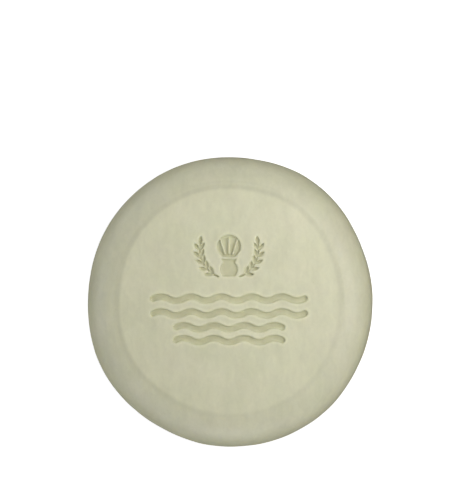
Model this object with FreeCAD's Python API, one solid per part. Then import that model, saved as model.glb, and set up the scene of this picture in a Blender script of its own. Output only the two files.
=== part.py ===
"""Shaving soap puck: one round cake of hard pressed soap.

The cake is a single homogeneous piece, so there is one solid, soap_puck. Each face is flat, is
framed by a shallow ring groove, and rolls over a soft rim into a nearly straight side. The two
halves of the press die leave a fine raised line around the middle of the side. The cake is a
little longer along Y than along X: its outline is an oval of four arcs, each a quarter turn
about its own centre. The upper face carries a sunk stamp: a shaving brush between two leafy
branches, above four rows of lather waves.

Units are millimetres. The origin is the centre of the lower face, and +Z points up.
"""

import FreeCAD, Part

import math
import os

from FreeCAD import Vector

# Cake
WIDTH = 73.0  # across X, over the die line
LENGTH = 74.3  # across Y, over the die line
THICKNESS = 29.0
RIM_INSET = 7.6  # from the outline in to the rim's start on the face
RIM_TILT = 8.0  # degrees below level that the rim starts at
SIDE_DRAFT = 2.5  # degrees that the side leans, so that each half leaves its die
DIE_LINE_HEIGHT = 0.7  # of the raised line, along Z
DIE_LINE_RISE = 0.12  # of the raised line, out of the side
GROOVE_WIDTH = 1.4  # the ring groove lies just inside the rim's start
GROOVE_DEPTH = 0.15

# Stamp
STAMP_DEPTH = 0.6

WAVE_ROWS = (  # height of each row's middle line on the face, and how many half waves it holds
    (0.6, 10),
    (-3.1, 10),
    (-6.6, 7),
    (-9.8, 7),
)
HALF_WAVE = 3.8
WAVE_RISE = 0.5
WAVE_STROKE = 1.6

BRANCH_CENTRE_Y = 13.0
BRANCH_RADIUS = 7.4
BRANCH_FROM = -68.0  # degrees round the branch's centre, measured from +X
BRANCH_TO = 8.0
BRANCH_STROKE = 0.5
LEAF_PAIRS = 5
LEAF_LENGTH = 2.3
LEAF_WIDTH = 0.95
LEAF_SPREAD = 34.0  # degrees between a leaf and the branch

BULB_CENTRE_Y = 7.9
BULB_RADIUS = 2.25
HANDLE_FOOT_Y = 6.2
COLLAR_FOOT_Y = 8.9
COLLAR_TOP_Y = 10.6
COLLAR_FOOT_WIDTH = 2.4
COLLAR_TOP_WIDTH = 3.8
KNOT_FOOT_Y = 11.0
KNOT_FOOT_WIDTH = 3.3
KNOT_CENTRE_Y = 13.7
KNOT_RADIUS = 3.0
KNOT_SHOULDER = -20.0  # degrees round the knot's centre where its straight flank ends
HAIR_STROKE = 0.32  # ridges left standing in the knot
HAIR_FOOT_Y = 12.0
HAIR_TOP_Y = 15.6
HAIR_FAN = (-18.0, 0.0, 18.0)  # degrees that each ridge leans

CUT_MARGIN = 1.0  # how far a cutter stands out of the face it cuts

ORIGIN = Vector(0, 0, 0)
UP = Vector(0, 0, 1)


def point(x, y, z=0.0):
    return Vector(x, y, z)


def upper_section(reach):
    """Edges of the upper half's section in XZ, for a side that reaches this far from its centre.

    They run out along the face, dip through the groove, roll over the rim and go down the side
    to the crest of the die line at half height.
    """
    start = math.radians(RIM_TILT)
    end = math.radians(90.0 - SIDE_DRAFT)
    lean = math.tan(math.radians(SIDE_DRAFT))
    half = THICKNESS / 2
    side = reach - DIE_LINE_RISE
    groove_out = reach - RIM_INSET
    groove_in = groove_out - GROOVE_WIDTH

    rim_radius = (side - groove_out - half * lean) / (
        math.sin(end) - math.sin(start) - (math.cos(start) - math.cos(end)) * lean
    )
    centre_x = groove_out - rim_radius * math.sin(start)
    centre_z = THICKNESS - rim_radius * math.cos(start)

    def on_rim(tilt):
        return point(centre_x + rim_radius * math.sin(tilt), 0, centre_z + rim_radius * math.cos(tilt))

    face_edge = point(groove_in, 0, THICKNESS)
    groove_floor = point((groove_in + groove_out) / 2, 0, THICKNESS - GROOVE_DEPTH)
    line_rise = DIE_LINE_HEIGHT / 2
    line_foot = point(side - line_rise * lean, 0, half + line_rise)
    return [
        Part.makeLine(point(0, 0, THICKNESS), face_edge),
        Part.Arc(face_edge, groove_floor, on_rim(start)).toShape(),
        Part.Arc(on_rim(start), on_rim((start + end) / 2), on_rim(end)).toShape(),
        Part.makeLine(on_rim(end), line_foot),
        Part.makeLine(line_foot, point(reach, 0, half)),
    ]


def quarter(centre, reach, facing):
    """A quarter turn of the cake about its own centre, whose middle faces this way in degrees."""
    upper = upper_section(reach)
    lower = [edge.mirror(point(0, 0, THICKNESS / 2), UP) for edge in upper]
    axis = Part.makeLine(ORIGIN, point(0, 0, THICKNESS))
    section = Part.Face(Part.Wire(Part.__sortEdges__(upper + lower + [axis])))
    section.rotate(ORIGIN, UP, facing - 45.0)
    section.translate(centre)
    return section.revolve(centre, UP, 90.0)


def cake():
    """The plain cake. Neighbouring arcs meet in a tangent where both centres lie on one diagonal."""
    shift = (LENGTH - WIDTH) / 2 / (2.0 - math.sqrt(2.0))
    quarters = []
    for facing in (0.0, 180.0):
        back = -shift * math.cos(math.radians(facing))
        quarters.append(quarter(point(back, 0), WIDTH / 2 + shift, facing))
    for facing in (90.0, 270.0):
        forward = shift * math.sin(math.radians(facing))
        quarters.append(quarter(point(0, forward), LENGTH / 2 - shift, facing))
    return quarters[0].fuse(quarters[1:]).removeSplitter()


def sunk(face):
    """The cutter that sinks a flat face, drawn at height 0, into the cake's upper face."""
    face = face.copy()
    face.translate(point(0, 0, THICKNESS - STAMP_DEPTH))
    return face.extrude(point(0, 0, STAMP_DEPTH + CUT_MARGIN))


def stroke(line, width):
    """A flat band of this width along an open bent line, with round ends."""
    return Part.Face(line.makeOffset2D(width / 2, 0, False, False))


def wave(row_y, half_waves):
    """One lather wave: equal arcs that bow up and down in turn, centred on the face."""
    start_x = -half_waves * HALF_WAVE / 2
    arcs = []
    for i in range(half_waves):
        x = start_x + i * HALF_WAVE
        crest = point(x + HALF_WAVE / 2, row_y + WAVE_RISE * (-1) ** i)
        arcs.append(Part.Arc(point(x, row_y), crest, point(x + HALF_WAVE, row_y)).toShape())
    return stroke(Part.Wire(arcs), WAVE_STROKE)


def leaf(foot, direction):
    """A pointed leaf between two equal arcs, growing from its foot along direction in degrees."""
    tip = point(LEAF_LENGTH, 0)
    sides = [
        Part.Arc(ORIGIN, point(LEAF_LENGTH / 2, side * LEAF_WIDTH / 2), tip).toShape()
        for side in (1, -1)
    ]
    flat = Part.Face(Part.Wire(Part.__sortEdges__(sides)))
    flat.rotate(ORIGIN, UP, direction)
    flat.translate(foot)
    return flat


def on_branch(angle):
    turn = math.radians(angle)
    return point(
        BRANCH_RADIUS * math.cos(turn), BRANCH_CENTRE_Y + BRANCH_RADIUS * math.sin(turn)
    )


def branch():
    """The right-hand branch: a bent stem with pairs of leaves and one leaf at its tip."""
    middle = (BRANCH_FROM + BRANCH_TO) / 2
    stem = Part.Arc(on_branch(BRANCH_FROM), on_branch(middle), on_branch(BRANCH_TO)).toShape()
    flats = [stroke(Part.Wire([stem]), BRANCH_STROKE)]
    step = (BRANCH_TO - BRANCH_FROM) / (LEAF_PAIRS + 0.5)
    for i in range(LEAF_PAIRS):
        angle = BRANCH_FROM + (i + 0.75) * step
        for side in (1, -1):
            flats.append(leaf(on_branch(angle), angle + 90 - side * LEAF_SPREAD))
    flats.append(leaf(on_branch(BRANCH_TO), BRANCH_TO + 90))
    return flats


def brush_bulb():
    """The round end of the handle, cut flat where the brush would stand."""
    disc = Part.Face(Part.Wire(Part.makeCircle(BULB_RADIUS, point(0, BULB_CENTRE_Y))))
    below = Part.makePlane(
        2 * BULB_RADIUS, BULB_RADIUS, point(-BULB_RADIUS, HANDLE_FOOT_Y - BULB_RADIUS)
    )
    return disc.cut(below)


def brush_collar():
    """The handle's neck, which widens up to the hair."""
    corners = [
        point(-COLLAR_FOOT_WIDTH / 2, COLLAR_FOOT_Y),
        point(COLLAR_FOOT_WIDTH / 2, COLLAR_FOOT_Y),
        point(COLLAR_TOP_WIDTH / 2, COLLAR_TOP_Y),
        point(-COLLAR_TOP_WIDTH / 2, COLLAR_TOP_Y),
    ]
    return Part.Face(Part.makePolygon(corners + corners[:1]))


def brush_knot():
    """The fanned hair: straight flanks under a round head."""
    turn = math.radians(KNOT_SHOULDER)
    shoulder_x = KNOT_RADIUS * math.cos(turn)
    shoulder_y = KNOT_CENTRE_Y + KNOT_RADIUS * math.sin(turn)
    corners = [
        point(-shoulder_x, shoulder_y),
        point(-KNOT_FOOT_WIDTH / 2, KNOT_FOOT_Y),
        point(KNOT_FOOT_WIDTH / 2, KNOT_FOOT_Y),
        point(shoulder_x, shoulder_y),
    ]
    flanks = [Part.makeLine(a, b) for a, b in zip(corners, corners[1:])]
    head = Part.Arc(corners[3], point(0, KNOT_CENTRE_Y + KNOT_RADIUS), corners[0]).toShape()
    return Part.Face(Part.Wire(flanks + [head]))


def brush_hair():
    """The ridges that stay standing inside the knot: thin upright slots, fanned from the collar."""
    half = HAIR_STROKE / 2
    corners = [
        point(-half, HAIR_TOP_Y),
        point(-half, HAIR_FOOT_Y),
        point(half, HAIR_FOOT_Y),
        point(half, HAIR_TOP_Y),
    ]
    slot = Part.Wire(
        [
            Part.makeLine(corners[0], corners[1]),
            Part.Arc(corners[1], point(0, HAIR_FOOT_Y - half), corners[2]).toShape(),
            Part.makeLine(corners[2], corners[3]),
            Part.Arc(corners[3], point(0, HAIR_TOP_Y + half), corners[0]).toShape(),
        ]
    )
    ridges = []
    for lean in HAIR_FAN:
        ridge = Part.Face(slot)
        ridge.rotate(point(0, COLLAR_FOOT_Y), UP, lean)
        ridges.append(ridge)
    return ridges


def stamp_cutters():
    """Every cutter of the stamp, with no two of them sharing space."""
    waves = [sunk(wave(row_y, half_waves)) for row_y, half_waves in WAVE_ROWS]
    right = [sunk(flat) for flat in branch()]
    right = right[0].fuse(right[1:]).removeSplitter()
    left = right.mirror(ORIGIN, point(1, 0))
    handle = sunk(brush_bulb()).fuse(sunk(brush_collar())).removeSplitter()
    knot = sunk(brush_knot()).cut([sunk(ridge) for ridge in brush_hair()])
    return waves + [right, left, handle, knot]


os.makedirs("parts", exist_ok=True)
soap_puck = cake().cut(stamp_cutters()).removeSplitter()
soap_puck.exportStep("parts/soap_puck.step")
print(
    f"soap_puck: {len(soap_puck.Solids)} solid, valid {soap_puck.isValid()}, "
    f"{soap_puck.Volume / 1000:.2f} cm3, {soap_puck.BoundBox}"
)
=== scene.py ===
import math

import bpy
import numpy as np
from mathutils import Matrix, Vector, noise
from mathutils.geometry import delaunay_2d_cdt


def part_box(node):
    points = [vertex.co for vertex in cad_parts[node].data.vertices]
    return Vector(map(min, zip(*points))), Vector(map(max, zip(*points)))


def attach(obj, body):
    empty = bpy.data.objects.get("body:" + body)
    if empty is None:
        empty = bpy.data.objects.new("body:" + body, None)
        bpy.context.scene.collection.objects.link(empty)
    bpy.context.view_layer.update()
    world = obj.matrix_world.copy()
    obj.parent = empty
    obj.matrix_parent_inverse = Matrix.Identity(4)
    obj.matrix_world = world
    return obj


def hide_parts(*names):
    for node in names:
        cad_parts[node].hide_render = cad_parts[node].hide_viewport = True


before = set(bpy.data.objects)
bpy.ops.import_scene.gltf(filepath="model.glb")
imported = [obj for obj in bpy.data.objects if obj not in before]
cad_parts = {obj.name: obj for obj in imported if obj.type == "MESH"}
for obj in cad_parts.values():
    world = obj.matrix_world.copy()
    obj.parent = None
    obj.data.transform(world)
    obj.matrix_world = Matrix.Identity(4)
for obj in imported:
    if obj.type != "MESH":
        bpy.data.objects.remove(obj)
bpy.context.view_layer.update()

# The looks of the shaving soap puck: one cake of pressed soap, rebuilt as a fine mesh over its CAD
# solid. The cake is pressed a little out of round, its die line and ring grooves are worn soft, and
# the stamp has drafted walls, rounded edges and a slight swell of soap around it.
# Lengths are in millimetres, apart from the studio's and the camera's, and MM turns them into
# metres.

MM = 0.001
low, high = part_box("soap_puck")
HALF_X = (high.x - low.x) / 2 / MM
HALF_Y = (high.y - low.y) / 2 / MM
THICKNESS = (high.z - low.z) / MM

# Section of the cake, as insets from its outline
RIM_INSET = 7.6
RIM_TILT = math.radians(8.0)
SIDE_DRAFT = math.radians(2.5)
DIE_LINE_HEIGHT = 0.7
DIE_LINE_RISE = 0.12
GROOVE_WIDTH = 1.4
GROOVE_DEPTH = 0.035
GROOVE_INSET = RIM_INSET + GROOVE_WIDTH / 2  # of the groove's line
WORN_INWARD = 1.15  # the groove's worn slopes reach this far from its line towards the face
WORN_OUTWARD = 1.3  # and this far over the rim

# Stamp
STAMP_DEPTH = 0.6
EDGE_OUT = 0.08  # the rounded edge starts this far outside the outline
WALL_IN = 0.22  # and the wall reaches the floor this far inside it
LIP_RISE = 0.05
LIP_PLACE = 0.42  # the swell of soap pushed up by the die, outside the outline
LIP_WIDTH = 0.28

WAVE_ROWS = ((0.6, 10), (-3.1, 10), (-6.6, 7), (-9.8, 7))  # each row's height and half waves
HALF_WAVE = 3.8
WAVE_RISE = 0.5
WAVE_STROKE = 1.6

BRANCH_CENTRE_Y = 13.0
BRANCH_RADIUS = 7.4
BRANCH_FROM = math.radians(-68.0)
BRANCH_TO = math.radians(8.0)
BRANCH_STROKE = 0.5
LEAF_PAIRS = 5
LEAF_LENGTH = 2.3
LEAF_WIDTH = 0.95
LEAF_SPREAD = math.radians(34.0)

BULB_CENTRE_Y = 7.9
BULB_RADIUS = 2.25
HANDLE_FOOT_Y = 6.2
COLLAR_FOOT = (1.2, 8.9)  # half width and height on the face
COLLAR_TOP = (1.9, 10.6)
KNOT_FOOT = (1.65, 11.0)
KNOT_SHOULDER = (2.82, 12.67)
KNOT_CENTRE_Y = 13.7
KNOT_RADIUS = 3.0
HAIR_STROKE = 0.32
HAIR_FOOT_Y = 12.0
HAIR_TOP_Y = 15.6
HAIR_FAN = math.radians(18.0)

# Mesh
AROUND = 432  # points in each ring
TINY = 1e-9  # keeps a contour from running through a grid point
SAME_PLACE = 1e-7  # points nearer than this are merged
CONTOUR_STEP = 0.24  # between points along the stamp's edges
CONTOUR_GRID = 0.1  # of the field that the edges are found in
CONTOUR_MARGIN = 1.5  # of that field, round the stamp
FEWEST_POINTS = 5  # in a contour
WALL_LOOPS = (1.06, 0.86, 0.7, 0.56, 0.44, 0.3, 0.14, -0.06)  # down the wall: 0 its top, 1 its foot
FACE_STEP = 0.85  # between points on the open upper face
BASE_STEP = 1.3  # and on the lower face
EDGE_CLEARANCE = 0.6  # share of either step kept clear inside a face's edge ring
GROOVE_ROWS = 21
GROOVE_MARGIN = 0.2  # that the groove's rows reach past its worn slopes
RIM_ROWS = 28
SIDE_ROWS = 10
DIE_LINE_ROWS = 6

# Unevenness of the pressing and of wear; directions are in degrees round the cake
OUT_OF_ROUND = (  # lobes round the outline, their height, and the direction of one lobe
    (3, 0.10, -54.0),
    (4, 0.16, 39.0),
    (5, 0.08, -12.0),
    (7, 0.08, 2.0),
)
GROOVE_STRENGTH = (0.25, 1.3)  # least and most, round the cake
GROOVE_STRONGEST = 150.0
GROOVE_RIPPLES = (5, 0.08)  # how many round the cake, and their strength
SECOND_GROOVE_AT = 90.0
SECOND_GROOVE_LENGTH = 0.45  # radians each way
SECOND_GROOVE_STEP = 1.3  # out from the groove's line
SECOND_GROOVE_WIDTH = 0.35
SECOND_GROOVE_SHARE = 0.6  # of the groove's full depth
# Where the rim's painted shade is thinner, how far that reaches, and by how much
RIM_SHADE_THIN_AT = 270.0
RIM_SHADE_THIN_LENGTH = math.radians(35.0)
RIM_SHADE_THIN_SHARE = 0.5
# One side of the rim gets painted shade, darkest at the outline
RIM_SIDE_SHADE_AT = 62.0  # the darker side of the rim
RIM_SIDE_SHADE_LENGTH = math.radians(45.0)
FLASH_WAVES = (9, 4)  # how many round the cake; together they make the die line come and go
FLASH_VARIES = 0.55  # share of the die line's rise that comes and goes
FLASH_RIPPLES = (31, 0.15)
EDGE_TINT_INSET = 3.4  # the outer edge's tint fades out this far in
RIM_TINT_INSET = 5.0  # the rim's tint is whole from here to the groove
SHRINK = ((15.0, 0.05), (4.0, 0.02))  # size of the hollows left by drying, and their depth
DENTS = 14
DENT_SEED = 5
DENT_EDGE = 0.2  # they fall where the share of outer edge is more than this
DENT_SIZE = (0.9, 2.2)
DENT_DEPTH = (0.03, 0.09)

# Soap: colours and tints are linear, lengths in millimetres
BODY_COLOUR = (0.602, 0.593, 0.436, 1.0)
CLOUDS = (  # kind, size and strength of each layer of uneven colour
    ("clouds", 16.0, 0.022),
    ("streaks", 5.0, 0.042),
    ("streaks", 1.6, 0.038),
    ("grain", 0.7, 0.024),
)
CLOUD_WARP = 0.6
STREAK_TURN = (0.3, 0.2, 1.1)
STREAK_SCALE = (1.0, 0.5, 1.0)
HUE_SPREAD = 8.0
GREENER = (0.987, 1.0, 0.98, 1.0)
PINKER = (1.013, 1.0, 1.02, 1.0)
BLOOM = 0.10  # greatest share of the chalky film that dries on soap
BLOOM_SPREAD = 4.5
BLOOM_FROM = 0.1  # of the noise that spreads it
BLOOM_WHOLE = 0.9
BLOOM_COLOUR = (0.66, 0.655, 0.53, 1.0)
# Painted shade in the stamp's recess, with the pressed soap's own deeper tone on its floor, and a
# touch of painted shade on its walls
STAMP_FLOOR_SHADE_AND_TONE = (0.94, 0.94, 0.86, 1.0)
STAMP_WALL_PAINTED_SHADE = (1.0, 1.0, 0.97, 1.0)
# Painted highlight on the swell round the stamp's edge
LIP_PAINTED_HIGHLIGHT = (1.07, 1.07, 1.06, 1.0)
# Painted shade in the groove's crease
GROOVE_PAINTED_SHADE = (0.905, 0.905, 0.895, 1.0)
# Painted shade over the rim, darker than the face
RIM_PAINTED_SHADE = (0.938, 0.938, 0.948, 1.0)
# Painted shade on the outer edge, darker and more olive where the rim turns down
EDGE_PAINTED_SHADE = (0.965, 0.96, 0.905, 1.0)
# Painted shade on one side of the rim
RIM_SIDE_PAINTED_SHADE = (0.905, 0.905, 0.905, 1.0)
PIT_SPACING = 2.6
PIT_RADIUS = 0.17
PIT_SHARE = 0.3  # share of the cells that have a pinhole
PIT_DEPTH = 0.05
# Painted shade inside the pinholes
PIT_PAINTED_SHADE = (0.9, 0.89, 0.82, 1.0)
SKIN = (  # kind, size and height of each layer of bump
    ("swell", 3.5, 0.012),
    ("grain", 0.9, 0.004),
    ("grain", 0.3, 0.0015),
    ("scratches", 0.6, 0.003),
)
SCRATCH_TURN = (0.0, 0.0, 0.5)
SCRATCH_SCALE = (1.0, 0.04, 0.4)
DRAG_SPREAD = 0.8
DRAG_SCALE = (1.0, 1.0, 0.05)
DRAG_FADE = (0.45, 0.1)  # the normal's Z where the drag marks begin, and where they are whole
DRAG_DEPTH = 0.006
DRAG_TONE = 0.02
DRY_ROUGHNESS = 0.42
DRY_PATCH = 3.0
DRY_VARIES = 0.06
PRESSED_ROUGHNESS = 0.36
REFRACTION = 1.45
INNER_LIGHT = 0.3  # share of the light that passes through the body
INNER_REACH = (1.0, 0.85, 0.5)  # of red, green and blue
INNER_SCALE = 0.8

# Studio, in metres
FLOOR_HALF = 4.0
FLOOR_COLOUR = (0.8, 0.8, 0.8, 1.0)
FLOOR_GLOW = 0.7
FLOOR_FADE = (0.1, 0.7)  # from here to here the glow rises to the backdrop's
# A painted shadow on the floor under the cake's overhang, where its glow is turned down
SHADOW_GLOW_SHARE = 0.25  # share of the glow in the shade under the cake's overhang
PAINTED_SHADOW_REACH = ((HALF_X - RIM_INSET) * MM, HALF_X * MM)  # the shade lifts from here to here
FLOOR_BOUNCE = (0.15, 0.15, 0.15, 1.0)
WHITE = (1.0, 1.0, 1.0, 1.0)
WORLD_GLOW = 0.08
KEY_PLACE = (0.073, 0.046, 0.15)
KEY_SIZE = 0.16
KEY_POWER = 0.184
WARM = (1.0, 0.995, 0.955)
SIDE_PLACE = (0.39, -0.05, 0.30)
SIDE_SIZE = 0.25
SIDE_POWER = 0.52
RING_REACH = 0.5
RING_HEIGHT = math.radians(20.0)
RING_SIZE = 0.3
COOL = (0.985, 0.995, 1.0)
RING_POWER = {90: 0.20, 135: 0.58, 180: 0.50, 225: 0.30, 270: 0.80, 315: 0.14}  # by direction

# Camera, in metres apart from the lens and sensor
LENS = 200.0
SENSOR = 36.0  # the picture is taller than wide, so this is its height
PICTURE_HEIGHT = 0.1281  # at the cake's middle height
PICTURE_MIDDLE = (-0.0003, 0.0132)  # the point over the cake that the picture is centred on
CAMERA_OFF_AXIS = (0.015, -0.006)
CAMERA_RANGE = (0.01, 10.0)


# ---------------------------------------------------------------- stamp outline
# Each function gives the signed distance from points (x, y) on the face to a shape: below zero
# inside it. The brush and branches are symmetric, so they are measured at the absolute x.


def disc(x, y, centre_x, centre_y, radius):
    return np.hypot(x - centre_x, y - centre_y) - radius


def beside(x, y, a, b):
    """Distance to the line from a to b, above zero on its right-hand side."""
    ux, uy = b[0] - a[0], b[1] - a[1]
    return ((x - a[0]) * uy - (y - a[1]) * ux) / math.hypot(ux, uy)


def arc_line(x, y, centre_x, centre_y, radius, start, end):
    """Distance to an arc's line, round its two ends."""
    angle = np.arctan2(y - centre_y, x - centre_x)
    middle = (start + end) / 2
    off = np.abs((angle - middle + np.pi) % (2 * np.pi) - np.pi)
    along = np.abs(np.hypot(x - centre_x, y - centre_y) - radius)
    ends = [
        np.hypot(x - centre_x - radius * math.cos(t), y - centre_y - radius * math.sin(t))
        for t in (start, end)
    ]
    return np.where(off <= (end - start) / 2, along, np.minimum(*ends))


def straight_line(x, y, a, b):
    """Distance to a straight stroke's line."""
    ux, uy = b[0] - a[0], b[1] - a[1]
    t = np.clip(((x - a[0]) * ux + (y - a[1]) * uy) / (ux * ux + uy * uy), 0, 1)
    return np.hypot(x - a[0] - t * ux, y - a[1] - t * uy)


def waves(x, y):
    half = HALF_WAVE / 2
    radius = (half**2 + WAVE_RISE**2) / (2 * WAVE_RISE)
    reach = math.asin(half / radius)
    nearest = np.full_like(x, np.inf)
    for row_y, count in WAVE_ROWS:
        for i in range(count):
            side = (-1) ** i
            centre_x = (i + 0.5 - count / 2) * HALF_WAVE
            centre_y = row_y + side * (WAVE_RISE - radius)
            up = side * math.pi / 2
            arc = arc_line(x, y, centre_x, centre_y, radius, up - reach, up + reach)
            nearest = np.minimum(nearest, arc)
    return nearest - WAVE_STROKE / 2


def leaf(x, y, foot_x, foot_y, direction):
    """A pointed leaf between two equal arcs."""
    half, bulge = LEAF_LENGTH / 2, LEAF_WIDTH / 2
    radius = (half**2 + bulge**2) / (2 * bulge)
    ux, uy = math.cos(direction), math.sin(direction)
    along = (x - foot_x) * ux + (y - foot_y) * uy - half
    across = np.abs((y - foot_y) * ux - (x - foot_x) * uy)
    return np.hypot(along, across + radius - bulge) - radius


def branch(x, y):
    stem = arc_line(x, y, 0, BRANCH_CENTRE_Y, BRANCH_RADIUS, BRANCH_FROM, BRANCH_TO)
    nearest = stem - BRANCH_STROKE / 2
    step = (BRANCH_TO - BRANCH_FROM) / (LEAF_PAIRS + 0.5)
    growths = [(BRANCH_TO, 0)]
    for i in range(LEAF_PAIRS):
        growths += [(BRANCH_FROM + (i + 0.75) * step, side) for side in (1, -1)]
    for angle, side in growths:
        foot_x = BRANCH_RADIUS * math.cos(angle)
        foot_y = BRANCH_CENTRE_Y + BRANCH_RADIUS * math.sin(angle)
        direction = angle + math.pi / 2 - side * LEAF_SPREAD
        nearest = np.minimum(nearest, leaf(x, y, foot_x, foot_y, direction))
    return nearest


def brush(x, y):
    bulb = np.maximum(disc(x, y, 0, BULB_CENTRE_Y, BULB_RADIUS), HANDLE_FOOT_Y - y)
    collar = np.maximum(beside(x, y, COLLAR_FOOT, COLLAR_TOP), COLLAR_FOOT[1] - y)
    collar = np.maximum(collar, y - COLLAR_TOP[1])
    knot = np.maximum(beside(x, y, KNOT_FOOT, KNOT_SHOULDER), KNOT_FOOT[1] - y)
    knot = np.maximum(knot, disc(x, y, 0, KNOT_CENTRE_Y, KNOT_RADIUS))
    for lean in (0.0, HAIR_FAN):
        pivot_y = COLLAR_FOOT[1]
        ends = [
            (math.sin(lean) * (end_y - pivot_y), pivot_y + math.cos(lean) * (end_y - pivot_y))
            for end_y in (HAIR_FOOT_Y, HAIR_TOP_Y)
        ]
        knot = np.maximum(knot, HAIR_STROKE / 2 - straight_line(x, y, *ends))
    return np.minimum(np.minimum(bulb, collar), knot)


def stamp_distance(x, y):
    side = np.abs(x)
    return np.minimum(waves(x, y), np.minimum(branch(side, y), brush(side, y)))


def smooth(t):
    t = np.clip(t, 0, 1)
    return t * t * (3 - 2 * t)


def sunk_share(distance):
    """How far the stamp is sunk at a distance from its outline: 0 on the face, 1 on its floor."""
    return smooth((EDGE_OUT - distance) / (EDGE_OUT + WALL_IN))


def lip_share(distance):
    """The swell beside the stamp's edge, 1 at its crest."""
    return np.exp(-(((distance - LIP_PLACE) / LIP_WIDTH) ** 2)) * (1 - sunk_share(distance))


# ---------------------------------------------------------------- contours of the stamp


def contour_loops(level, xs, ys, field):
    """Closed loops where the field crosses a level, by marching squares, as lists of points."""
    value = field - level
    value[value == 0] = TINY
    inside = value < 0
    links = {}

    def crossing(i, j, k, m):
        t = value[i, j] / (value[i, j] - value[k, m])
        return (xs[j] + t * (xs[m] - xs[j]), ys[i] + t * (ys[k] - ys[i]))

    points = {}
    mixed = inside[:-1, :-1].astype(int) + inside[1:, :-1] + inside[:-1, 1:] + inside[1:, 1:]
    for i, j in zip(*np.nonzero((mixed > 0) & (mixed < 4))):
        corners = [(i, j), (i, j + 1), (i + 1, j + 1), (i + 1, j)]
        found = []
        for a, b in zip(corners, corners[1:] + corners[:1]):
            if inside[a] != inside[b]:
                key = (min(a, b), max(a, b))
                if key not in points:
                    points[key] = crossing(*key[0], *key[1])
                found.append(key)
        if len(found) == 4 and inside[corners[0]] != (value[i : i + 2, j : j + 2].sum() < 0):
            found = found[1:] + found[:1]
        for a, b in zip(found[::2], found[1::2]):
            links.setdefault(a, []).append(b)
            links.setdefault(b, []).append(a)

    loops = []
    left = set(links)
    while left:
        start = min(left)
        loop, here, before = [start], start, None
        left.discard(start)
        while True:
            onward = [key for key in links[here] if key != before and key in left]
            if not onward:
                break
            before, here = here, onward[0]
            left.discard(here)
            loop.append(here)
        loops.append(np.array([points[key] for key in loop]))
    return loops


def evenly_spaced(loop, step):
    """The closed loop again, with points a step apart."""
    closed = np.vstack([loop, loop[:1]])
    run = np.concatenate([[0], np.cumsum(np.hypot(*np.diff(closed, axis=0).T))])
    count = max(int(round(run[-1] / step)), FEWEST_POINTS)
    at = np.arange(count) * run[-1] / count
    return np.column_stack([np.interp(at, run, closed[:, k]) for k in (0, 1)])


def stamp_loops():
    """Loops that follow the stamp's edge at several distances, from the swell down to the floor."""
    half_width = max(count for _, count in WAVE_ROWS) * HALF_WAVE / 2 + WAVE_STROKE
    xs = np.arange(-half_width - CONTOUR_MARGIN, half_width + CONTOUR_MARGIN, CONTOUR_GRID)
    lowest = min(row_y for row_y, _ in WAVE_ROWS) - WAVE_STROKE
    highest = KNOT_CENTRE_Y + KNOT_RADIUS
    ys = np.arange(lowest - CONTOUR_MARGIN, highest + CONTOUR_MARGIN, CONTOUR_GRID)
    field = stamp_distance(*np.meshgrid(xs, ys))
    levels = [EDGE_OUT - (EDGE_OUT + WALL_IN) * share for share in WALL_LOOPS]
    levels += [LIP_PLACE, LIP_PLACE + LIP_WIDTH, LIP_PLACE + 2 * LIP_WIDTH]
    loops = []
    for level in levels:
        for loop in contour_loops(level, xs, ys, field.copy()):
            if len(loop) >= FEWEST_POINTS:
                loops.append(evenly_spaced(loop, CONTOUR_STEP))
    return loops


# ---------------------------------------------------------------- the cake's form


def off_direction(angle, direction):
    """Each angle's turn from a direction in degrees, from minus pi to pi."""
    return (angle - math.radians(direction) + np.pi) % (2 * np.pi) - np.pi


def outline(angle):
    """The cake's reach from its axis at the die line, at each angle round it."""
    reach = HALF_X + (HALF_Y - HALF_X) * np.sin(angle) ** 2
    for lobes, rise, direction in OUT_OF_ROUND:
        turn = math.radians(direction)
        reach = reach + rise * np.cos(lobes * (angle - turn))
        if lobes % 4 == 0:  # these alone would change the width and length, so that is taken off
            reach = reach - rise * math.cos(lobes * turn)
    return reach


def upper_section():
    """Rows of the upper half's section: inset, height, share of groove and share of die line."""
    half = THICKNESS / 2
    lean = math.tan(SIDE_DRAFT)
    start, end = RIM_TILT, math.pi / 2 - SIDE_DRAFT
    rim_radius = (RIM_INSET - DIE_LINE_RISE - half * lean) / (
        math.sin(end) - math.sin(start) - (math.cos(start) - math.cos(end)) * lean
    )
    centre_inset = RIM_INSET + rim_radius * math.sin(start)
    centre_z = THICKNESS - rim_radius * math.cos(start)

    def plain(inset):
        """Height of the face and the rim, without the groove."""
        if inset >= RIM_INSET:
            return THICKNESS
        return centre_z + math.sqrt(rim_radius**2 - (centre_inset - inset) ** 2)

    rows = []
    first, last = -WORN_INWARD - GROOVE_MARGIN, WORN_OUTWARD + GROOVE_MARGIN
    for across in np.linspace(first, last, GROOVE_ROWS):
        inset = GROOVE_INSET - across
        share = smooth(1 - across / (WORN_OUTWARD if across > 0 else -WORN_INWARD))
        rows.append((inset, plain(inset), share, 0.0))
    first_tilt = math.asin((centre_inset - rows[-1][0]) / rim_radius)
    for tilt in np.linspace(first_tilt, end, RIM_ROWS)[1:]:
        inset = centre_inset - rim_radius * math.sin(tilt)
        rows.append((inset, centre_z + rim_radius * math.cos(tilt), 0.0, 0.0))
    for z in np.linspace(rows[-1][1], half + DIE_LINE_HEIGHT / 2, SIDE_ROWS)[1:]:
        rows.append((DIE_LINE_RISE + (z - half) * lean, z, 0.0, 0.0))
    for share in np.linspace(0, 1, DIE_LINE_ROWS)[1:]:
        z = half + DIE_LINE_HEIGHT / 2 * (1 - share)
        rows.append((DIE_LINE_RISE + (z - half) * lean, z, 0.0, smooth(share)))
    return rows


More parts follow.
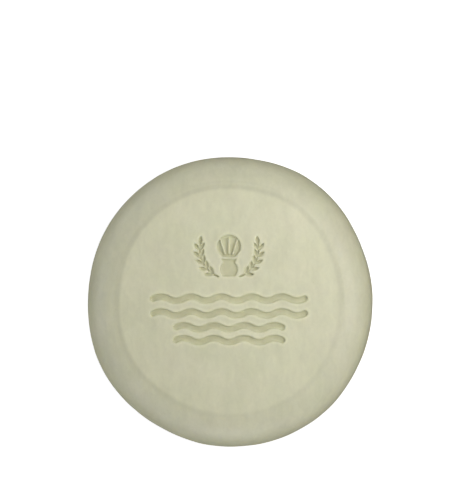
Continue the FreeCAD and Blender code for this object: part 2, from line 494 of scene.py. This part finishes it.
def groove_strength(angle):
    """The groove is pressed deeper, and its painted shade is darker, on one side of the cake than
    on the other.
    """
    least, most = GROOVE_STRENGTH
    ripples, strength = GROOVE_RIPPLES
    side = 0.5 + 0.5 * np.cos(angle - math.radians(GROOVE_STRONGEST))
    return least + (most - least) * side + strength * np.sin(ripples * angle)


def second_groove(angle, inset):
    """A faint second line outside the groove on one side: a shallow dip that takes the groove's
    painted shade too.
    """
    along = off_direction(angle, SECOND_GROOVE_AT) / SECOND_GROOVE_LENGTH
    across = (inset - (GROOVE_INSET - SECOND_GROOVE_STEP)) / SECOND_GROOVE_WIDTH
    return SECOND_GROOVE_SHARE * np.exp(-(along**2)) * np.exp(-(across**2))


def rim_strength(angle):
    """The rim's painted shade is thinner on one side."""
    off = off_direction(angle, RIM_SHADE_THIN_AT) / RIM_SHADE_THIN_LENGTH
    return 1 - RIM_SHADE_THIN_SHARE * np.exp(-(off**2))


def rim_side_shade_share(angle, inset):
    """One side of the rim gets painted shade, most at the outline and less towards the groove."""
    off = off_direction(angle, RIM_SIDE_SHADE_AT) / RIM_SIDE_SHADE_LENGTH
    return smooth(1 - inset / RIM_INSET) * np.exp(-(off**2))


def flash(angle):
    """The die line's rise, which comes and goes round the cake."""
    ripples, strength = FLASH_RIPPLES
    slow = np.sin(FLASH_WAVES[0] * angle + 1) * np.sin(FLASH_WAVES[1] * angle)
    return DIE_LINE_RISE * (1 + FLASH_VARIES * slow + strength * np.sin(ripples * angle))


def skin():
    """Points from the upper face's edge, over the rim and side, to the lower face's edge.

    Returns them as rows by angle, with the share of groove, outer edge, rim and the rim's shaded
    side at each, which carry the painted shade.
    """
    upper = upper_section()
    lower = [(inset, THICKNESS - z, groove, line) for inset, z, groove, line in upper[-2::-1]]
    inset, z, groove, line = [np.array(part)[:, None] for part in zip(*(upper + lower))]
    is_upper = z > THICKNESS / 2
    angle = (np.arange(AROUND) * 2 * np.pi / AROUND)[None, :]

    reach = outline(angle) - inset + line * flash(angle)
    # pressed sets the groove's dip and also how much painted shade it gets
    pressed = groove * groove_strength(angle) + second_groove(angle, inset) * is_upper
    depth = GROOVE_DEPTH * pressed
    height = z + np.where(is_upper, -depth, depth)
    points = np.stack([reach * np.cos(angle), reach * np.sin(angle), height], axis=-1)
    edge = smooth(1 - inset / EDGE_TINT_INSET) + 0 * angle
    begun = smooth(1 - (inset - GROOVE_INSET) / WORN_INWARD)
    # Share of the rim's painted shade
    rim = begun * smooth(inset / RIM_TINT_INSET) * rim_strength(angle)
    return points, pressed, edge, rim, rim_side_shade_share(angle, inset)


def outward(points):
    """Unit normals of the skin, from its neighbouring rows and angles."""
    down = np.gradient(points, axis=0)
    on = np.roll(points, -1, axis=1) - np.roll(points, 1, axis=1)
    normal = np.cross(down, on)
    return normal / np.linalg.norm(normal, axis=-1, keepdims=True)


def waviness(points):
    """How far the soap shrank in at each point as it dried, in millimetres."""
    away = Vector((7, 3, 5))  # from the noise's own origin, where it is even
    depth = np.zeros(len(points))
    for size, most in SHRINK:
        for i, p in enumerate(points):
            depth[i] += most * (0.5 + 0.5 * noise.noise(Vector(p) / size + away))
    return depth


def dents(points, places):
    """Depth at each point of the shallow knocks on the rim and side."""
    draw = np.random.default_rng(DENT_SEED)
    depth = np.zeros(len(points))
    for _ in range(DENTS):
        centre = places[draw.integers(len(places))]
        size = draw.uniform(*DENT_SIZE)
        most = draw.uniform(*DENT_DEPTH)
        depth += most * np.exp(-((np.linalg.norm(points - centre, axis=1) / size) ** 2))
    return depth


# ---------------------------------------------------------------- the cake's mesh


def loose_points(edge, spacing, stamped):
    """An even field of points inside the edge ring, clear of the stamp's contours."""
    reach = np.hypot(*edge.T).max()
    xs = np.arange(-reach, reach, spacing)
    ys = np.arange(-reach, reach, spacing * math.sqrt(3) / 2)
    x, y = np.meshgrid(xs, ys)
    x = x + (np.arange(len(ys)) % 2)[:, None] * spacing / 2
    x, y = x.ravel(), y.ravel()
    turn = np.arctan2(edge[:, 1], edge[:, 0]) % (2 * np.pi)
    order = np.argsort(turn)
    limit = np.interp(
        np.arctan2(y, x) % (2 * np.pi), turn[order], np.hypot(*edge[order].T), period=2 * np.pi
    )
    keep = np.hypot(x, y) < limit - EDGE_CLEARANCE * spacing
    if stamped:
        distance = stamp_distance(x, y)
        outside = distance > LIP_PLACE + 2 * LIP_WIDTH + spacing / 2
        keep &= outside | (distance < -WALL_IN - spacing / 4)
    return np.column_stack([x[keep], y[keep]])


def face_fill(edge, loops, spacing):
    """Triangulates a face inside its edge ring. Returns the points, which of them are the edge
    ring's own (or -1), and the triangles."""
    links = []
    count = 0
    for loop in [edge] + loops:
        size = len(loop)
        links += [(count + i, count + (i + 1) % size) for i in range(size)]
        count += size
    flat = np.vstack([edge, *loops, loose_points(edge, spacing, bool(loops))])
    made = delaunay_2d_cdt([Vector(p) for p in flat], links, [], 0, SAME_PLACE)
    points = np.array([tuple(p) for p in made[0]])
    given = np.array([min(source) if source else len(flat) for source in made[3]])
    return points, np.where(given < len(edge), given, -1), np.array(made[2])


def add_face(mesh, ring_start, loops, spacing, up):
    """Adds the upper or lower face to the lists in mesh, joined to the ring at ring_start."""
    edge = np.vstack(mesh["points"])[ring_start : ring_start + AROUND]
    flat, on_edge, triangles = face_fill(edge[:, :2], loops, spacing)
    new = on_edge < 0
    count = sum(len(part) for part in mesh["points"])
    index = np.where(new, count + np.cumsum(new) - 1, ring_start + on_edge)
    fresh = flat[new]
    sunk = np.zeros(len(fresh))
    lip = np.zeros(len(fresh))
    if loops:
        distance = stamp_distance(fresh[:, 0], fresh[:, 1])
        sunk, lip = sunk_share(distance), lip_share(distance)
    level = THICKNESS if up else 0.0
    points = np.column_stack([fresh, np.full(len(fresh), level)])
    shrunk = waviness(points)
    points[:, 2] += (-STAMP_DEPTH * sunk + LIP_RISE * lip - shrunk) * (1 if up else -1)
    corners = index[triangles] if up else index[triangles][:, ::-1]
    mesh["faces"] += [tuple(corner) for corner in corners.tolist()]
    mesh["points"].append(points)
    plain = np.zeros(len(fresh))
    mesh["sunk"].append(sunk)
    mesh["lip"].append(lip)
    for name in ("groove", "edge", "rim", "rim_side_shade"):
        mesh[name].append(plain)


def make_cake():
    grid, groove, edge, rim, rim_side_shade = skin()
    normals = outward(grid).reshape(-1, 3)
    points = grid.reshape(-1, 3)
    off_die_line = np.abs(points[:, 2] - THICKNESS / 2) > DIE_LINE_HEIGHT
    knocked = (edge.ravel() > DENT_EDGE) & off_die_line
    shrunk = waviness(points) + dents(points, points[knocked])
    points = points - normals * shrunk[:, None]
    rows = len(grid)
    plain = np.zeros(len(points))
    mesh = {
        "points": [points],
        "faces": [],
        "sunk": [plain],
        "lip": [plain],
        "groove": [groove.ravel()],
        "edge": [edge.ravel()],
        "rim": [rim.ravel()],
        "rim_side_shade": [rim_side_shade.ravel()],
    }
    for row in range(rows - 1):
        for i in range(AROUND):
            j = (i + 1) % AROUND
            above, below = row * AROUND, (row + 1) * AROUND
            mesh["faces"].append((above + i, below + i, below + j, above + j))
    add_face(mesh, 0, stamp_loops(), FACE_STEP, up=True)
    add_face(mesh, (rows - 1) * AROUND, [], BASE_STEP, up=False)

    data = bpy.data.meshes.new("soap_cake")
    data.from_pydata((np.vstack(mesh["points"]) * MM).tolist(), [], mesh["faces"])
    data.validate()
    for name in ("sunk", "lip", "groove", "edge", "rim", "rim_side_shade"):
        share = np.concatenate(mesh[name]).astype(np.float32)
        data.attributes.new(name, "FLOAT", "POINT").data.foreach_set("value", share)
    data.shade_smooth()
    cake = bpy.data.objects.new("soap_cake", data)
    bpy.context.scene.collection.objects.link(cake)
    return cake


# ---------------------------------------------------------------- material


class Nodes:
    """Short ways to add nodes to one material and link them.

    A Map Range node's inputs go by number: 0 the value, 1 and 2 its range, 3 and 4 the range it is
    taken to. A Math node's are 0, 1 and 2. A Mix node's colours are 6 and 7, and its output 2.
    """

    def __init__(self, name):
        self.material = bpy.data.materials.new(name)
        self.material.use_nodes = True
        self.tree = self.material.node_tree
        self.tree.nodes.clear()

    def add(self, kind, inputs=(), **settings):
        node = self.tree.nodes.new(kind)
        for key, value in settings.items():
            setattr(node, key, value)
        for key, value in dict(inputs).items():
            if isinstance(value, bpy.types.NodeSocket):
                self.tree.links.new(value, node.inputs[key])
            else:
                node.inputs[key].default_value = value
        return node

    def math(self, operation, a, b):
        return self.add("ShaderNodeMath", {0: a, 1: b}, operation=operation).outputs[0]

    def noise(self, place, size, detail=2.0, roughness=0.5, distortion=0.0):
        """Noise whose features are about size millimetres across, from about -1 to 1.

        Blender's own noise stays mostly between 0.25 and 0.75, which is widened here.
        """
        made = self.add(
            "ShaderNodeTexNoise",
            {
                "Vector": place,
                "Scale": 1 / size,
                "Detail": detail,
                "Roughness": roughness,
                "Distortion": distortion,
            },
        )
        span = self.add(
            "ShaderNodeMapRange",
            {0: made.outputs["Fac"], 1: 0.25, 2: 0.75, 3: -1.0, 4: 1.0},
            clamp=False,
        )
        return span.outputs[0]

    def tint(self, amount, base, colour, blend="MULTIPLY"):
        mixed = self.add(
            "ShaderNodeMix", {0: amount}, data_type="RGBA", blend_type=blend, clamp_factor=True
        )
        for socket, value in ((6, base), (7, colour)):
            if isinstance(value, bpy.types.NodeSocket):
                self.tree.links.new(value, mixed.inputs[socket])
            else:
                mixed.inputs[socket].default_value = value
        return mixed.outputs[2]


def attribute(nodes, name):
    return nodes.add("ShaderNodeAttribute", attribute_name=name).outputs["Fac"]


def pits(nodes, place):
    """Tiny round pinholes, 1 at the middle of each, in some of the cells only."""
    cells = nodes.add("ShaderNodeTexVoronoi", {"Vector": place, "Scale": 1 / PIT_SPACING})
    round_hole = nodes.add(
        "ShaderNodeMapRange",
        {0: cells.outputs["Distance"], 1: PIT_RADIUS / PIT_SPACING, 2: 0.0},
        interpolation_type="SMOOTHSTEP",
    ).outputs[0]
    draw = nodes.add("ShaderNodeSeparateColor", {0: cells.outputs["Color"]}).outputs["Red"]
    chosen = nodes.math("LESS_THAN", draw, PIT_SHARE)
    return nodes.math("MULTIPLY", round_hole, chosen)


def soap_colour(nodes, place, pinholes, drags):
    """The body colour, varied as in milled soap, toned where the die pressed it, with painted shade
    and a painted highlight laid over it.
    """
    streaks = nodes.add(
        "ShaderNodeMapping",
        {"Vector": place, "Rotation": STREAK_TURN, "Scale": STREAK_SCALE},
    ).outputs[0]
    colour = BODY_COLOUR
    for name, spread, most in CLOUDS:
        where = streaks if name == "streaks" else place
        varied = nodes.noise(where, spread, detail=3.0, distortion=CLOUD_WARP)
        gain = nodes.add("ShaderNodeMath", {0: varied, 1: most, 2: 1.0}, operation="MULTIPLY_ADD")
        colour = nodes.tint(1.0, colour, gain.outputs[0])
    hue = nodes.noise(place, HUE_SPREAD, detail=3.0)
    hue = nodes.add("ShaderNodeMapRange", {0: hue, 1: -1.0}).outputs[0]
    colour = nodes.tint(1.0, colour, nodes.tint(hue, GREENER, PINKER, blend="MIX"))
    film = nodes.noise(place, BLOOM_SPREAD, detail=5.0, roughness=0.6)
    bloom = nodes.add(
        "ShaderNodeMapRange",
        {0: film, 1: BLOOM_FROM, 2: BLOOM_WHOLE, 4: BLOOM},
        interpolation_type="SMOOTHSTEP",
    ).outputs[0]
    colour = nodes.tint(bloom, colour, BLOOM_COLOUR, blend="MIX")

    sunk = attribute(nodes, "sunk")
    unsunk = nodes.math("SUBTRACT", 1.0, sunk)
    wall = nodes.math("MULTIPLY", nodes.math("MULTIPLY", sunk, unsunk), 4.0)
    # Painted shade in the stamp's recess, with the pressed soap's own deeper tone on its floor, and
    # a touch of painted shade on its walls
    colour = nodes.tint(sunk, colour, STAMP_FLOOR_SHADE_AND_TONE)
    colour = nodes.tint(wall, colour, STAMP_WALL_PAINTED_SHADE)
    # Painted highlight on the swell round the stamp's edge
    colour = nodes.tint(attribute(nodes, "lip"), colour, LIP_PAINTED_HIGHLIGHT)
    # Painted shade in the groove
    colour = nodes.tint(attribute(nodes, "groove"), colour, GROOVE_PAINTED_SHADE)
    drawn = nodes.add("ShaderNodeMath", {0: drags, 1: DRAG_TONE, 2: 1.0}, operation="MULTIPLY_ADD")
    colour = nodes.tint(1.0, colour, drawn.outputs[0])
    # Painted shade over the rim
    colour = nodes.tint(attribute(nodes, "rim"), colour, RIM_PAINTED_SHADE)
    # Painted shade on the outer edge
    colour = nodes.tint(attribute(nodes, "edge"), colour, EDGE_PAINTED_SHADE)
    # Painted shade on one side of the rim
    colour = nodes.tint(attribute(nodes, "rim_side_shade"), colour, RIM_SIDE_PAINTED_SHADE)
    # Painted shade inside the pinholes
    return nodes.tint(pinholes, colour, PIT_PAINTED_SHADE)


def drag_marks(nodes, place):
    """Fine upright lines on the side only, left as the cake slid out of its die, from -1 to 1."""
    upright = nodes.add("ShaderNodeMapping", {"Vector": place, "Scale": DRAG_SCALE}).outputs[0]
    normal = nodes.add("ShaderNodeTexCoord").outputs["Normal"]
    level = nodes.add("ShaderNodeSeparateXYZ", {0: normal}).outputs["Z"]
    steep = nodes.add(
        "ShaderNodeMapRange",
        {0: nodes.math("ABSOLUTE", level, 0.0), 1: DRAG_FADE[0], 2: DRAG_FADE[1]},
        interpolation_type="SMOOTHSTEP",
    ).outputs[0]
    return nodes.math("MULTIPLY", nodes.noise(upright, DRAG_SPREAD, detail=3.0), steep)


def soap_surface(nodes, place, pinholes, drags):
    """Bump of the dry skin: soft unevenness, fine grain, a few hair scratches and pinholes."""
    scratches = nodes.add(
        "ShaderNodeMapping",
        {"Vector": place, "Rotation": SCRATCH_TURN, "Scale": SCRATCH_SCALE},
    ).outputs[0]
    height = nodes.math("MULTIPLY", pinholes, -PIT_DEPTH)
    height = nodes.math("ADD", height, nodes.math("MULTIPLY", drags, DRAG_DEPTH))
    for name, spread, most in SKIN:
        where = scratches if name == "scratches" else place
        layer = nodes.math("MULTIPLY", nodes.noise(where, spread), most)
        height = nodes.math("ADD", height, layer)
    bump = nodes.add("ShaderNodeBump", {"Height": height, "Distance": MM, "Strength": 1.0})
    return bump.outputs[0]


def soap_material():
    """Pale olive soap: a dull, dry skin over a body that lets a little light through."""
    nodes = Nodes("soap")
    place = nodes.add("ShaderNodeTexCoord").outputs["Object"]
    place = nodes.add("ShaderNodeVectorMath", {0: place, 3: 1 / MM}, operation="SCALE").outputs[0]
    pinholes = pits(nodes, place)
    drags = drag_marks(nodes, place)
    patches = nodes.noise(place, DRY_PATCH, detail=4.0)
    dryness = nodes.add(
        "ShaderNodeMath", {0: patches, 1: DRY_VARIES, 2: DRY_ROUGHNESS}, operation="MULTIPLY_ADD"
    )
    pressed = nodes.math("MULTIPLY", attribute(nodes, "sunk"), DRY_ROUGHNESS - PRESSED_ROUGHNESS)
    shader = nodes.add(
        "ShaderNodeBsdfPrincipled",
        {
            "Base Color": soap_colour(nodes, place, pinholes, drags),
            "Roughness": nodes.math("SUBTRACT", dryness.outputs[0], pressed),
            "IOR": REFRACTION,
            "Subsurface Weight": INNER_LIGHT,
            "Subsurface Radius": INNER_REACH,
            "Subsurface Scale": INNER_SCALE * MM,
            "Normal": soap_surface(nodes, place, pinholes, drags),
        },
    )
    nodes.add("ShaderNodeOutputMaterial", {"Surface": shader.outputs[0]})
    return nodes.material


def floor_material():
    """A white table that glows to stay white up to the backdrop, so that no horizon shows, with a
    painted shadow under the cake's overhang.
    """
    nodes = Nodes("floor")
    place = nodes.add("ShaderNodeTexCoord").outputs["Object"]
    away = nodes.add("ShaderNodeVectorMath", {0: place}, operation="LENGTH").outputs["Value"]
    glow = nodes.add(
        "ShaderNodeMapRange",
        {0: away, 1: FLOOR_FADE[0], 2: FLOOR_FADE[1], 3: FLOOR_GLOW, 4: 1.0},
        interpolation_type="SMOOTHSTEP",
    ).outputs[0]
    # Painted shadow under the cake's overhang
    painted_shadow = nodes.add(
        "ShaderNodeMapRange",
        {0: away, 1: PAINTED_SHADOW_REACH[0], 2: PAINTED_SHADOW_REACH[1], 3: SHADOW_GLOW_SHARE, 4: 1.0},
        interpolation_type="SMOOTHSTEP",
    ).outputs[0]
    glow = nodes.math("MULTIPLY", glow, painted_shadow)
    lit = nodes.add("ShaderNodeBsdfDiffuse", {"Color": FLOOR_COLOUR}).outputs[0]
    glowing = nodes.add("ShaderNodeEmission", {"Strength": glow}).outputs[0]
    seen = nodes.add("ShaderNodeAddShader", {0: lit, 1: glowing}).outputs[0]
    bounce = nodes.add("ShaderNodeBsdfDiffuse", {"Color": FLOOR_BOUNCE}).outputs[0]
    to_camera = nodes.add("ShaderNodeLightPath").outputs["Is Camera Ray"]
    mixed = nodes.add("ShaderNodeMixShader", {0: to_camera, 1: bounce, 2: seen}).outputs[0]
    nodes.add("ShaderNodeOutputMaterial", {"Surface": mixed})
    return nodes.material


# ---------------------------------------------------------------- floor, lights and camera


def add_floor():
    half = FLOOR_HALF
    corners = [(-half, -half, 0), (half, -half, 0), (half, half, 0), (-half, half, 0)]
    mesh = bpy.data.meshes.new("floor")
    mesh.from_pydata(corners, [], [(0, 1, 2, 3)])
    mesh.materials.append(floor_material())
    floor = bpy.data.objects.new("floor", mesh)
    bpy.context.scene.collection.objects.link(floor)


def add_light(name, place, size, power, colour):
    """A square softbox that faces the cake and isn't seen itself."""
    data = bpy.data.lights.new(name, "AREA")
    data.shape = "SQUARE"
    data.size = size
    data.energy = power
    data.color = colour
    light = bpy.data.objects.new(name, data)
    light.location = place
    light.rotation_mode = "QUATERNION"
    light.rotation_quaternion = (-Vector(place)).to_track_quat("-Z", "Y")
    light.visible_camera = False
    bpy.context.scene.collection.objects.link(light)


def add_lights():
    """A large key high on the right, a side light, and a low ring of weak softboxes all round."""
    add_light("key", KEY_PLACE, KEY_SIZE, KEY_POWER, WARM)
    add_light("side", SIDE_PLACE, SIDE_SIZE, SIDE_POWER, WARM)
    out = RING_REACH * math.cos(RING_HEIGHT)
    up = RING_REACH * math.sin(RING_HEIGHT)
    for direction, power in RING_POWER.items():
        turn = math.radians(direction)
        place = (out * math.cos(turn), out * math.sin(turn), up)
        add_light(f"ring_{direction}", place, RING_SIZE, power, COOL)


def add_world():
    """White to the camera, and only a faint glow on the soap."""
    world = bpy.data.worlds.new("studio")
    world.use_nodes = True
    nodes, links = world.node_tree.nodes, world.node_tree.links
    sky = nodes["Background"]
    sky.inputs["Color"].default_value = WHITE
    path = nodes.new("ShaderNodeLightPath")
    strength = nodes.new("ShaderNodeMapRange")
    strength.inputs["To Min"].default_value = WORLD_GLOW
    strength.inputs["To Max"].default_value = 1.0
    links.new(path.outputs["Is Camera Ray"], strength.inputs[0])
    links.new(strength.outputs[0], sky.inputs["Strength"])
    bpy.context.scene.world = world


def add_camera():
    """Looks down on the cake from a little right of it and in front, and frames it low."""
    distance = PICTURE_HEIGHT * LENS / SENSOR
    place = Vector((*CAMERA_OFF_AXIS, THICKNESS * MM / 2 + distance))
    look = Vector((*PICTURE_MIDDLE, THICKNESS * MM / 2)) - place
    data = bpy.data.cameras.new("camera")
    data.lens = LENS
    data.sensor_width = SENSOR
    data.clip_start, data.clip_end = CAMERA_RANGE
    camera = bpy.data.objects.new("camera", data)
    camera.location = place
    camera.rotation_euler = (math.asin(look.y / look.length), math.atan2(-look.x, -look.z), 0)
    bpy.context.scene.collection.objects.link(camera)
    bpy.context.scene.camera = camera


cake = make_cake()
cake.data.materials.append(soap_material())
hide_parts("soap_puck")
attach(cake, "root")

add_floor()
add_lights()
add_world()
add_camera()
bpy.context.scene.view_settings.view_transform = "Standard"
